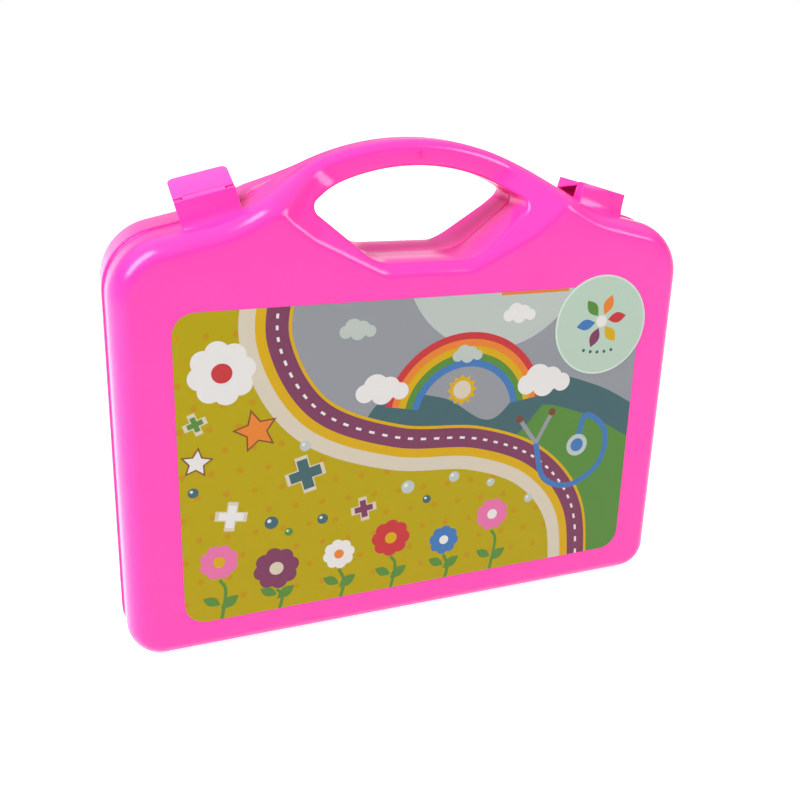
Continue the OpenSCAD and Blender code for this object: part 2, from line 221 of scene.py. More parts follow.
def distance(points, path, closed=False):
    """Distance of each point from the path."""
    ends = np.roll(path, -1, 0) if closed else path[1:]
    starts = path if closed else path[:-1]
    best = np.full(len(points), 1e9)
    for a, b in zip(starts, ends):
        ab = b - a
        t = np.clip((points - a) @ ab / max(ab @ ab, 1e-12), 0, 1)
        best = np.minimum(best, np.linalg.norm(points - a - t[:, None] * ab, axis=1))
    return best


def past_dip(points, half):
    """Distance past the dip line, towards the handle; negative on the flat face."""
    points = np.asarray(points, float) + [0, half["drop"]]
    d = distance(points, DIP)
    return np.where(inside(points, DIP_SIDE), d, -d)


def soft(d, b):
    """max(0, d) with its corner rounded over b on either side."""
    return np.where(d <= -b, 0, np.where(d >= b, d, (d + b) ** 2 / (4 * b)))


def level(points, half, inset=0.0):
    """Depth of the half's face and share of the full depth, at points (x, z)."""
    d = past_dip(points, half)
    ramp = soft(d, SLOPE_TOP_SOFT) - soft(d - half["run"], SLOPE_FOOT_SOFT)
    share = 1 - np.clip(ramp / half["run"], 0, 1)
    return GRIP_D + (half["depth"] - GRIP_D) * (1 - ramp / half["run"]) - inset, share


class Builder:
    """Gathers vertices and faces of one mesh."""

    def __init__(self):
        self.verts, self.faces, self.marks = [], [], []
        self.count = 0

    def add(self, points):
        points = np.asarray(points, float).reshape(-1, 3)
        first = self.count
        self.verts.append(points)
        self.count += len(points)
        return list(range(first, self.count))

    def face(self, ids, mark=0):
        self.faces.append(tuple(ids))
        self.marks.append(mark)

    def strip(self, a, b, skip=None):
        """Quads between two closed loops of the same length."""
        n = len(a)
        for i in range(n):
            if skip is not None and skip[i]:
                continue
            j = (i + 1) % n
            self.face((a[i], a[j], b[j], b[i]))


def face_sheet(build, outer, hole, half, inset, step, coarse):
    """Triangles between the outer loop and the opening's loop, lying on the face."""
    low, high = outer[:, :2].min(0), outer[:, :2].max(0)
    grids = []
    for gap, near in ((step, True), (coarse, False)):
        gx = np.arange(low[0], high[0], gap)
        gz = np.arange(low[1], high[1], gap * 0.866)
        px, pz = np.meshgrid(gx, gz)
        px = px + (np.arange(len(gz)) % 2)[:, None] * gap / 2
        pts = np.stack([px.ravel(), pz.ravel()], 1)
        if near:
            pts = pts[(pts[:, 1] > DIP_Z - 6 - half["drop"]) & (np.abs(pts[:, 0]) < 84)]
        d = past_dip(pts, half)
        bent = (d > -3.2) & (d < half["run"] + 7.5)
        pts = pts[bent if near else ~bent]
        ok = inside(pts, outer[:, :2]) & ~inside(pts, hole[:, :2])
        pts = pts[ok]
        ok = distance(pts, outer[:, :2], True) > 0.45 * gap
        ok &= distance(pts, hole[:, :2], True) > 0.45 * gap
        grids.append(pts[ok])
    n, m = len(outer), len(hole)
    flat = np.vstack([outer[:, :2], hole[:, :2], *grids])
    edges = [(i, (i + 1) % n) for i in range(n)]
    edges += [(n + i, n + (i + 1) % m) for i in range(m)]
    made = delaunay_2d_cdt([Vector(p) for p in flat], edges, [], 0, 1e-5)
    pts = np.array([list(p) for p in made[0]])
    depth, _ = level(pts, half, inset)
    ids = build.add(np.stack([pts[:, 0], depth, pts[:, 1]], 1))
    tris = np.array([list(f) for f in made[2]])
    middle = pts[tris].mean(1)
    keep = inside(middle, outer[:, :2]) & ~inside(middle, hole[:, :2])
    for t in tris[keep]:
        build.face([ids[k] for k in t])


def shell_side(build, half, fine, inset):
    """One skin of a half: its rim, wall, edge rounding, face and the opening's wall.
    Returns the loops at the parting plane: the outline's and the opening's."""
    rim = outline(fine, inset)
    n = len(rim)
    xz, normal = rim[:, :2], rim[:, 2:]
    start, share = level(xz - 5 * normal, half, inset)
    r_in = GRIP_ROUND + (EDGE_IN - GRIP_ROUND) * share
    r_back = np.minimum(start - 1, GRIP_ROUND + (EDGE_BACK - GRIP_ROUND) * share)
    cut = (xz[:, 1] <= GROOVE_TOP + inset + 1e-4) & (normal[:, 1] < 0.2)
    cut &= np.roll(cut, -1)
    rings = []

    def ring(move, depth):
        at = xz + np.asarray(move).reshape(-1, 1) * normal
        if not inset:
            at[:, 1] = np.maximum(at[:, 1], 0)
        d = np.broadcast_to(depth, (n,))
        rings.append(np.stack([at[:, 0], d, at[:, 1]], 1))

    if inset:
        ring(np.zeros(n), SKIN)
        ring(np.zeros(n), np.minimum(GROOVE_HALF + WALL, start - r_back - 0.2))
    else:
        x = np.abs(xz[:, 0])
        bead = np.where(xz[:, 1] > HOLE_Z, np.clip((x - 69.0) / 5.0, 0, 1), 1.0)
        bead = BEAD_OUT * bead * bead * (3 - 2 * bead)
        ring(bead - SEAM, SKIN)
        ring(bead - 0.3 * SEAM, SKIN + 0.3 * SEAM)
        ring(bead, SKIN + SEAM)
        ring(bead, BEAD_W - 0.3)
        ring(np.maximum(bead - 0.1, 0), BEAD_W - 0.08)
        ring(np.maximum(bead - 0.3, 0), BEAD_W)
        ring(np.minimum(bead, 0.12), BEAD_W)
        ring(np.zeros(n), BEAD_W + 0.12)
        ring(np.zeros(n), np.minimum(GROOVE_HALF, start - r_back - 0.2))
    body_rings = len(rings)
    steps = int(14 * fine)
    for k in range(steps + 1):
        t = math.pi / 2 * k / steps
        move = r_in * (1 - math.cos(t))
        at = xz - move[:, None] * normal
        depth, _ = level(at, half, inset)
        ring(-move, depth - r_back * (1 - math.sin(t)))
    loops = [build.add(r) for r in rings]
    for k in range(len(loops) - 1):
        build.strip(loops[k], loops[k + 1], skip=cut if k + 1 < body_rings else None)
    # the foot's groove, or the wall over it
    ends = [i for i in range(n) if cut[i] or cut[i - 1]]
    right = [i for i in ends if xz[i, 0] >= 0 and i < n / 2]
    border = [i for i in ends if i not in right] + right
    width, height = xz[right[-1]]
    walled = loops[body_rings - 1]
    build.face([walled[i] for i in border])
    deep = rings[body_rings - 1][0][1]
    a = build.add([[-width, deep, height], [width, deep, height]])
    b = build.add([[-width, SKIN, height], [width, SKIN, height]])
    build.face((a[0], a[1], b[1], b[0]))
    # the opening's wall and its rounded edge
    hole = opening(fine, WALL if inset else 0.0)
    hxz, hn = hole[:, :2], hole[:, 2:]
    r = 0.3 if inset else 1.5
    hole_rings = []
    if inset:
        hole_rings.append(np.stack([hxz[:, 0], np.full(len(hxz), SKIN), hxz[:, 1]], 1))
    else:
        for move, depth in ((SEAM, SKIN), (0.3 * SEAM, SKIN + 0.3 * SEAM), (0, SKIN + SEAM)):
            p = hxz + move * hn
            hole_rings.append(np.stack([p[:, 0], np.full(len(p), depth), p[:, 1]], 1))
    steps = 2 if inset else int(7 * fine)
    for k in range(steps + 1):
        t = math.pi / 2 * k / steps
        move = r * (1 - math.cos(t))
        p = hxz + move * hn
        d, _ = level(p, half, inset)
        hole_rings.append(np.stack([p[:, 0], d - r * (1 - math.sin(t)), p[:, 1]], 1))
    hole_loops = [build.add(q) for q in hole_rings]
    for k in range(len(hole_loops) - 1):
        build.strip(hole_loops[k + 1], hole_loops[k])
    last, last_hole = rings[-1], hole_rings[-1]
    step = 1.0 / fine
    face_sheet(build, last[:, [0, 2]], last_hole[:, [0, 2]], half, inset, step, 5.0 / fine)
    return rings[0], loops[0], hole_rings[0], hole_loops[0]


def flat_band(build, outer, outer_ids, inner, inner_ids):
    """Triangles at the parting plane between two loops, the outer and the inner."""
    n, m = len(outer), len(inner)
    flat = np.vstack([outer, inner])
    ids = list(outer_ids) + list(inner_ids)
    edges = [(i, (i + 1) % n) for i in range(n)]
    edges += [(n + i, n + (i + 1) % m) for i in range(m)]
    made = delaunay_2d_cdt([Vector(p) for p in flat], edges, [], 0, 1e-5)
    pts = np.array([list(p) for p in made[0]])
    tris = np.array([list(f) for f in made[2]])
    middle = pts[tris].mean(1)
    keep = inside(middle, outer) & ~inside(middle, inner)
    back = [ids[o[0]] if len(o) else None for o in made[3]]
    for t in tris[keep]:
        chosen = [back[k] for k in t]
        if None not in chosen:
            build.face(chosen)


def mesh_object(name, build, side=None, merge=1e-7, angle=38.0):
    """A mesh object from a builder's faces, smooth but for edges sharper than angle."""
    points = np.vstack(build.verts)
    points = place(points, side) if side is not None else points
    mesh = bpy.data.meshes.new(name)
    mesh.from_pydata([tuple(p) for p in points], [], build.faces)
    bm = bmesh.new()
    bm.from_mesh(mesh)
    marks = bm.faces.layers.int.new("mark")
    bm.faces.ensure_lookup_table()
    for f, m in zip(bm.faces, build.marks):
        f[marks] = m
    bmesh.ops.remove_doubles(bm, verts=bm.verts, dist=merge)
    bmesh.ops.dissolve_degenerate(bm, edges=bm.edges, dist=merge)
    bmesh.ops.recalc_face_normals(bm, faces=bm.faces)
    bm.to_mesh(mesh)
    bm.free()
    obj = bpy.data.objects.new(name, mesh)
    bpy.context.scene.collection.objects.link(obj)
    smooth_by_angle(obj, angle)
    return obj


def smooth_by_angle(obj, degrees):
    """Smooth shading, with edges sharper than the angle kept crisp."""
    mesh = obj.data
    mesh.polygons.foreach_set("use_smooth", [True] * len(mesh.polygons))
    bm = bmesh.new()
    bm.from_mesh(mesh)
    limit = math.radians(degrees)
    for e in bm.edges:
        e.smooth = not (len(e.link_faces) == 2 and e.calc_face_angle(0) > limit)
    bm.to_mesh(mesh)
    bm.free()


def cylinder_between(build, a, b, r, sides=32, cap=0.25):
    """A closed cylinder along X or any axis, with chamfered ends."""
    a, b = np.asarray(a, float), np.asarray(b, float)
    axis = unit(b - a)
    u = unit(np.cross(axis, [0.3, 0.7, 0.2]))
    v = np.cross(axis, u)
    loops = []
    for at, radius in ((a, r - cap), (a + axis * cap, r), (b - axis * cap, r), (b, r - cap)):
        turn = np.linspace(0, 2 * math.pi, sides, endpoint=False)
        ring = at + radius * (np.cos(turn)[:, None] * u + np.sin(turn)[:, None] * v)
        loops.append(build.add(ring))
    for p, q in zip(loops[:-1], loops[1:]):
        build.strip(p, q)
    build.face(loops[0][::-1])
    build.face(loops[-1])


def box(build, low, high):
    """A closed box."""
    (x0, y0, z0), (x1, y1, z1) = low, high
    ids = build.add([[x, y, z] for x in (x0, x1) for y in (y0, y1) for z in (z0, z1)])
    for f in ((0, 1, 3, 2), (4, 6, 7, 5), (0, 4, 5, 1), (2, 3, 7, 6), (0, 2, 6, 4), (1, 5, 7, 3)):
        build.face([ids[k] for k in f])


def prism(build, profile, x0, x1):
    """A closed prism along X with the profile [(y, z), ...]."""
    a = build.add([[x0, y, z] for y, z in profile])
    b = build.add([[x1, y, z] for y, z in profile])
    build.strip(a, b)
    build.face(a[::-1])
    build.face(b)


def bevelled(name, build, width, segments=3, angle=30.0, matrix=None):
    """A mesh object whose sharp edges are rounded; its points are millimetres."""
    mesh = bpy.data.meshes.new(name)
    points = np.vstack(build.verts)
    mesh.from_pydata([tuple(p) for p in points], [], build.faces)
    bm = bmesh.new()
    bm.from_mesh(mesh)
    bmesh.ops.recalc_face_normals(bm, faces=bm.faces)
    limit = math.radians(angle)
    sharp = [e for e in bm.edges if len(e.link_faces) == 2 and e.calc_face_angle(0) > limit]
    bmesh.ops.bevel(
        bm, geom=sharp, offset=width, segments=segments, profile=0.5, affect="EDGES",
        clamp_overlap=True,
    )
    bm.transform(matrix if matrix is not None else Matrix())
    bm.to_mesh(mesh)
    bm.free()
    obj = bpy.data.objects.new(name, mesh)
    bpy.context.scene.collection.objects.link(obj)
    smooth_by_angle(obj, 34.0)
    return obj


def joined(name, objects):
    """One object from several."""
    first = objects[0]
    if len(objects) > 1:
        bpy.ops.object.select_all(action="DESELECT")
        for o in objects:
            o.select_set(True)
        bpy.context.view_layer.objects.active = first
        bpy.ops.object.join()
    first.name = name
    first.data.name = name
    return first


def to_row():
    """Matrix from millimetres round the parting plane to the row frame in metres."""
    return Matrix.Diagonal((MM, MM, MM, 1)) @ Matrix.Translation((0, PARTING, 0))


# Clips

CLIP = {"x": 96.2, "tilt": 15.0, "toe": 4.0, "w": 26.0, "front": 13.5, "post": 1.3, "ear": 3.5}
BARREL, EAR_R, GAP, FLAP_LEN, FLAP_T = 3.2, 2.0, 0.4, 20.0, 1.5
AXIS_Y = CLIP["post"] + GAP + BARREL / 2 - CLIP["front"]
FLAP_FROM = EAR_R + GAP + 0.2
POST_H, CLIP_RISE = 12.4, 11.5


def clip_frame(side):
    """From clip millimetres to the row frame: X outwards along the shoulder, Z off it."""
    tilt = Matrix.Rotation(math.radians(CLIP["tilt"]), 4, "Y")
    toe = Matrix.Rotation(math.radians(CLIP["toe"]), 4, "Z")
    height = SIDE_H + (HALF_W - CLIP["x"]) * math.tan(math.radians(SLOPE)) + CLIP_RISE
    place_it = Matrix.Translation((CLIP["x"], 0, height))
    pivot = Matrix.Translation((0, -CLIP["front"], 0))
    flip = Matrix.Diagonal((side, 1, 1, 1))
    return to_row() @ flip @ place_it @ tilt @ pivot @ toe @ pivot.inverted()


def clip_post(side):
    """The post and its two ears."""
    half = CLIP["w"] / 2
    build = Builder()
    front = -CLIP["front"]
    back = front + CLIP["post"]
    down = (0.0, 0.3, 0.5, 0.65, 0.77, 0.86, 0.93, 1.0)
    flare = [(front - 1.7 * t - 2.4 * t**5, -POST_H * t) for t in down]
    prism(build, flare + [(back, -POST_H), (back, 0)], -half, half)
    plate = bevelled(f"post_plate_{side}", build, 0.35, matrix=clip_frame(side))
    build = Builder()
    top = [
        (AXIS_Y + EAR_R * math.sin(t), EAR_R * math.cos(t) - EAR_R)
        for t in np.linspace(0, math.pi / 2, 8)
    ]
    start = front + 0.5
    profile = [(start, -11.6), (start, -0.02)] + top + [(AXIS_Y + EAR_R, -11.6)]
    for a, b in ((-half + 0.02, -half + CLIP["ear"]), (half - CLIP["ear"], half - 0.02)):
        prism(build, profile, a, b)
    ears = bevelled(f"post_ears_{side}", build, 0.3, angle=40.0, matrix=clip_frame(side))
    return [plate, ears]


def flap(name, side, lift):
    """One clip's flap: barrel, stub pins, plate with skirts and the hook."""
    half = CLIP["w"] / 2
    inner = half - CLIP["ear"] - GAP
    skirt, hook, hook_w, corner = 4.6, 7.2, 18.0, 3.0
    top, under = BARREL / 2, BARREL / 2 - FLAP_T

    def plan(inset):
        r = corner - inset
        pts = [(-half + inset, FLAP_FROM + inset), (half - inset, FLAP_FROM + inset)]
        for cx, a0 in ((half - corner, 0.0), (-half + corner, math.pi / 2)):
            for t in np.linspace(a0, a0 + math.pi / 2, 9):
                pts.append((cx + r * math.cos(t), FLAP_LEN - corner + r * math.sin(t)))
        return np.array(pts)

    def low(y):
        return under - 0.25 - (skirt - 0.25) * (y - FLAP_FROM) / (FLAP_LEN - FLAP_FROM)

    turn = Matrix.Rotation(math.radians(lift), 4, "X")
    matrix = clip_frame(side) @ Matrix.Translation((0, AXIS_Y, -EAR_R)) @ turn
    build = Builder()
    outer, inner_loop = plan(0.0), plan(FLAP_T)
    o_top = build.add([[x, y, top] for x, y in outer])
    o_low = build.add([[x, y, low(y)] for x, y in outer])
    i_low = build.add([[x, y, low(y)] for x, y in inner_loop])
    i_top = build.add([[x, y, under] for x, y in inner_loop])
    build.face(o_top)
    build.strip(o_top, o_low)
    build.strip(o_low, i_low)
    build.strip(i_low, i_top)
    build.face(i_top)
    cap = bevelled(f"{name}_cap", build, 0.42, segments=4, matrix=matrix)
    build = Builder()
    arc = [
        (BARREL / 2 * math.sin(t), BARREL / 2 * math.cos(t))
        for t in np.linspace(math.pi, 2 * math.pi, 17)
    ]
    profile = arc + [(FLAP_FROM + 1.0, top), (FLAP_FROM + 1.0, under), (1.59, under)]
    prism(build, profile, -inner, inner)
    root = bevelled(f"{name}_root", build, 0.15, segments=2, angle=40.0, matrix=matrix)
    build = Builder()
    for s in (-1, 1):
        cylinder_between(build, (s * (inner - 0.5), 0, 0), (s * (inner + 2.6), 0, 0), 1.0, 20)
    back = FLAP_LEN - FLAP_T
    box(build, (-hook_w / 2, back, -hook), (hook_w / 2, FLAP_LEN - 0.02, top - 0.6))
    rest = bevelled(f"{name}_hook", build, 0.3, segments=3, matrix=matrix)
    return joined(name, [cap, root, rest])


def gate_mark(at):
    """The moulding's gate on the grip: a low ring round a small nub, turned about Y."""
    profile = ((0.0, 0.3), (0.5, 0.26), (0.75, 0.04), (0.9, -0.05), (1.05, 0.08))
    profile += ((1.2, 0.36), (1.45, 0.45), (1.65, 0.3), (1.75, -0.1))
    build = Builder()
    loops = []
    for r, rise in profile[1:]:
        ring = circle(at[0], at[1], r, 24)
        loops.append(build.add([[x, GRIP_D + rise, z] for x, z in ring]))
    for p, q in zip(loops[:-1], loops[1:]):
        build.strip(p, q)
    build.face(loops[0])
    build.face(loops[-1])
    return mesh_object("gate", build, -1)


def half_object(name, half):
    """One half shell: both skins, the band at the parting plane, ridges and knuckles."""
    build = Builder()
    o_ring, o_ids, h_ring, h_ids = shell_side(build, half, 1.0, 0.0)
    i_ring, i_ids, hi_ring, hi_ids = shell_side(build, half, 0.6, WALL)

    def trimmed(ring, ids, z):
        """The loop at the parting plane, cut off level over the groove."""
        keep = [k for k in range(len(ring)) if ring[k][2] >= z - 1e-3]
        start = next(i for i, k in enumerate(keep) if ring[k][0] > 0 and k > 0)
        order = keep[start:] + keep[:start]
        return ring[order][:, [0, 2]], [ids[k] for k in order]

    outer, outer_ids = trimmed(o_ring, o_ids, GROOVE_TOP)
    inner, inner_ids = trimmed(i_ring, i_ids, GROOVE_TOP + WALL)
    flat_band(build, outer, outer_ids, inner, inner_ids)
    flat_band(build, hi_ring[:, [0, 2]], hi_ids, h_ring[:, [0, 2]], h_ids)
    parts = [mesh_object(name, build, half["side"], merge=2e-6)]
    step = (HINGE_LEN + KNUCKLE_GAP) / KNUCKLES
    build = Builder()
    webs = Builder()
    for s in (-1, 1):
        for k in range(0 if half is BACK else 1, KNUCKLES, 2):
            x0 = s * HINGE_X - HINGE_LEN / 2 + k * step
            x1 = x0 + step - KNUCKLE_GAP
            cylinder_between(build, (x0, 0, HINGE_Z), (x1, 0, HINGE_Z), KNUCKLE_D / 2)
            y0, y1 = sorted((half["side"] * 0.25, half["side"] * KNUCKLE_D / 2))
            box(webs, (x0, y0, HINGE_Z), (x1, y1, GROOVE_TOP + 0.5))
    parts.append(bevelled(name + "_knuckles", build, 0.05, 1, 60.0, to_row()))
    parts.append(bevelled(name + "_webs", webs, 0.2, 2, 30.0, to_row()))
    if half is FRONT:
        parts.append(gate_mark(GATE))
        for s in (-1, 1):
            parts += clip_post(s)
    else:
        for s in (-1, 1):
            ridge = Builder()
            y1 = AXIS_Y + FLAP_LEN
            box(ridge, (-10, y1 - 2.4, -12.4), (10, y1, -9.45))
            parts.append(bevelled(f"ridge_{s}", ridge, 0.5, matrix=clip_frame(s)))
    return joined(name, parts)


# Printed films: the front of each is one flat sheet, cut where its colours change


def circle(x, z, r, n=28):
    t = np.linspace(0, 2 * math.pi, n, endpoint=False)
    return np.stack([x + r * np.cos(t), z + r * np.sin(t)], 1)


def round_box(w, h, r, n=10):
    """Anticlockwise outline of a rectangle with round corners, middle at the origin."""
    corners = []
    for k, (sx, sz) in enumerate(((1, -1), (1, 1), (-1, 1), (-1, -1))):
        t = np.linspace(-90 + 90 * k, 90 * k, n + 1) * math.pi / 180
        x, z = sx * (w / 2 - r), sz * (h / 2 - r)
        corners.append(np.stack([x + r * np.cos(t), z + r * np.sin(t)], 1))
    return np.vstack(corners)


def moved(points, x, z, turn=0.0, size=1.0):
    c, s = size * math.cos(math.radians(turn)), size * math.sin(math.radians(turn))
    p = np.asarray(points, float)
    return np.stack([x + c * p[:, 0] - s * p[:, 1], z + s * p[:, 0] + c * p[:, 1]], 1)


def smooth_path(points, n=12):
    """Catmull-Rom curve through the points."""
    p = np.asarray(points, float)
    p = np.vstack([2 * p[0] - p[1], p, 2 * p[-1] - p[-2]])
    t = np.linspace(0, 1, n, endpoint=False)[:, None]
    out = []
    for a, b, c, d in zip(p[:-3], p[1:-2], p[2:-1], p[3:]):
        rise = (c - a) * t + (2 * a - 5 * b + 4 * c - d) * t**2
        out.append(b + (rise + (3 * b - a - 3 * c + d) * t**3) / 2)
    return np.vstack([*out, p[-2:-1]])


def shifted(path, off):
    """The path moved sideways, to its left for a positive off."""
    way = np.gradient(path, axis=0)
    way /= np.linalg.norm(way, axis=1)[:, None]
    return path + off * np.stack([-way[:, 1], way[:, 0]], 1)


def band(path, low, high):
    return np.vstack([shifted(path, low), shifted(path, high)[::-1]])


def arc_band(x, z, r0, r1, start, end, n=24):
    t = np.radians(np.linspace(start, end, n))
    way = np.stack([np.cos(t), np.sin(t)], 1)
    return np.vstack([r0 * way, r1 * way[::-1]]) + [x, z]


def plus(x, z, size, turn=0.0):
    a, b = size / 2, size / 6
    p = [(a, -b), (a, b), (b, b), (b, a), (-b, a), (-b, b)]
    p += [(-a, b), (-a, -b), (-b, -b), (-b, -a), (b, -a), (b, -b)]
    return moved(p, x, z, turn)


def star(x, z, r, turn=0.0, points=5, waist=0.48):
    t = np.arange(2 * points) * math.pi / points + math.pi / 2
    far = np.where(np.arange(2 * points) % 2, waist * r, r)
    return moved(np.stack([far * np.cos(t), far * np.sin(t)], 1), x, z, turn)


def leaf(x, z, size, turn=0.0):
    t = np.linspace(0, math.pi, 14)
    up = np.stack([size * t / math.pi, size * 0.26 * np.sin(t)], 1)
    return moved(np.vstack([up, up[-2:0:-1] * [1, -1]]), x, z, turn)


def daisy(x, z, r, petal, middle, turn=0.0, petals=8):
    shapes = []
    for k in range(petals):
        t = math.radians(turn + 360 * k / petals)
        at = (x + 0.62 * r * math.cos(t), z + 0.62 * r * math.sin(t))
        shapes.append((petal, circle(*at, 0.36 * r)))
    return shapes + [(petal, circle(x, z, 0.5 * r)), (middle, circle(x, z, 0.3 * r))]


def cloud(x, z, size, ink):
    lumps = ((-0.55, 0, 0.3), (-0.2, 0.2, 0.4), (0.22, 0.12, 0.36), (0.58, -0.02, 0.28), (0, -0.05, 0.36))
    return [(ink, circle(x + size * a, z + size * b, size * r)) for a, b, r in lumps]


INKS = {
    "olive": (170, 151, 0),
    "olive_warm": (178, 134, 8),
    "cream": (200, 190, 170),
    "gold": (200, 158, 16),
    "purple": (116, 57, 86),
    "wall": (138, 141, 146),
    "teal": (64, 94, 98),
    "pale": (176, 184, 178),
    "white": (216, 213, 210),
    "red": (186, 52, 56),
    "orange": (214, 122, 48),
    "green": (82, 128, 54),
    "blue": (64, 112, 168),
    "rose": (214, 108, 156),
    "brown": (112, 66, 44),
    "mint": (174, 194, 178),
    "mint_pale": (196, 212, 200),
}


def label_shapes():
    """The label's picture, bottom to top, in millimetres from the label's middle."""
    edge = smooth_path(
        [(-66, 92), (-70, 58), (-52, 24), (-14, 6), (28, 0), (62, -16), (84, -46), (90, -92)]
    )
    hills = smooth_path([(-40, -4), (-22, 26), (8, 24), (34, 10), (58, 30), (92, 22), (124, 4)])
    shapes = [("wall", round_box(240, 156, 0.5))]
    shapes.append(("pale", arc_band(34, 92, 0.1, 46, 180, 360, 40)))
    shapes.append(("teal", np.vstack([hills, [(130, -92), (-40, -92)]])))
    shapes.append(("green", np.vstack([shifted(hills, -16), [(130, -92), (-40, -92)]])))
    # a rainbow over the hills, with clouds
    for k, ink in enumerate(("red", "orange", "gold", "green", "blue")):
        shapes.append((ink, arc_band(20, 14, 38 - 3.4 * k, 41.4 - 3.4 * k, 8, 168, 48)))
    shapes += cloud(-22, 30, 15, "white") + cloud(62, 26, 17, "white")
    shapes += cloud(20, 44, 9, "pale") + cloud(-34, 60, 10, "pale") + cloud(46, 62, 10, "white")
    shapes.append(("gold", star(18, 27, 8, 0, 12, 0.72)))
    shapes.append(("cream", circle(18, 27, 4.6)))
    # the field on the left, with dots, and the ribbon: cream, purple with dashes, gold
    field = np.vstack([edge, [(-130, -92), (-130, 92)]])
    shapes.append(("olive", field))
    dots = np.array([(12.5 * k + 6.2 * (m % 2), 10.5 * m) for k in range(-9, 7) for m in range(-6, 7)])
    shapes += [("olive_warm", circle(x, z, 1.5, 10)) for x, z in dots[inside(dots, field)]]
    shapes += [("cream", band(edge, -9, -16)), ("gold", band(edge, -4.5, -9))]
    shapes += [("purple", band(edge, -4.5, 5.5)), ("gold", band(edge, 5.5, 7.0))]
    stitch = shifted(smooth_path(edge[::3], 8), 0.5)
    for k in range(0, len(stitch) - 3, 5):
        shapes.append(("white", band(stitch[k : k + 3], -0.6, 0.6)))
    # a listening tube on the hills
    tube = smooth_path([(60, -6), (66, -26), (82, -32), (98, -22), (100, -4), (88, 6), (84, -8)])
    shapes += [("blue", band(tube, -1.5, 1.5)), ("pale", circle(84, -10, 6)), ("blue", circle(84, -10, 3.6))]
    for a in ((60, -6), (50, 8)), ((60, -6), (68, 10)):
        shapes.append(("wall", band(np.array(a, float), -1.1, 1.1)))
    shapes += [("brown", circle(50, 8, 2)), ("brown", circle(68, 10, 2))]
    # a row of big shapes in the upper left
    shapes += daisy(-94, 46, 15, "white", "red", 10)
    for x, z, r, ink, turn in ((-80, 18, 9, "orange", 12), (-106, 6, 6, "white", -8)):
        shapes += [("brown", star(x, z, r + 1.6, turn)), (ink, star(x, z, r, turn))]
    for x, z, size, ink, turn in (
        (-58, -6, 15, "teal", 14),
        (-92, -22, 11, "white", -10),
        (-30, -28, 9, "purple", 8),
        (-106, 24, 7, "green", 20),
    ):
        shapes += [("cream", plus(x, z, size + 3.4, turn)), (ink, plus(x, z, size, turn))]
    # a flower bed along the lower edge
    for x, z, r, petal, middle in (
        (-98, -44, 9, "rose", "gold"),
        (-72, -52, 11, "purple", "cream"),
        (-42, -50, 8, "white", "orange"),
        (-16, -46, 10, "red", "gold"),
        (12, -52, 8, "blue", "white"),
        (38, -42, 9, "rose", "white"),
    ):
        stem = smooth_path([(x, z - r), (x + 2.5, z - 16), (x - 1, -80)], 6)
        shapes.append(("green", band(stem, -0.8, 0.8)))
        shapes += [("green", leaf(x, -68, 10, 34)), ("green", leaf(x, -66, 9, 150))]
        shapes += daisy(x, z, r, petal, middle, 3 * x)
    for x, z, r, ink in (
        (-74, -28, 3.2, "teal"),
        (-66, -34, 2.0, "green"),
        (-50, -30, 2.6, "teal"),
        (-8, -20, 3.4, "pale"),
        (2, -28, 2.2, "teal"),
        (16, -18, 2.8, "pale"),
        (36, -24, 2.2, "pale"),
        (-108, -8, 2.4, "teal"),
        (-58, 8, 2.6, "pale"),
        (58, -36, 2.4, "pale"),
    ):
        shapes += [(ink, circle(x, z, r, 18)), ("white", circle(x - 0.3 * r, z + 0.3 * r, 0.3 * r, 10))]
    # the carrier's edge, left showing along the top
    shapes.append(("orange", np.array([(36, 72.1), (72, 72.1), (72, 74), (36, 74)])))
    return shapes


def round_shapes():
    """The round sticker's picture: a paler rim, a ring of leaves and a row of dots."""
    shapes = [("mint_pale", circle(0, 0, 26, 96)), ("mint", circle(0, 0, 24.6, 96))]
    for k, ink in enumerate(("red", "orange", "green", "blue", "purple", "gold")):
        shapes.append((ink, moved(leaf(3.6, 0, 10.5), 0, 2, 60 * k + 12)))
    shapes.append(("white", circle(0, 2, 3.0)))
    for k in range(5):
        shapes.append(("teal", circle(-8 + 4 * k, -14 + 0.25 * (k - 2) ** 2, 0.9, 12)))
    return shapes


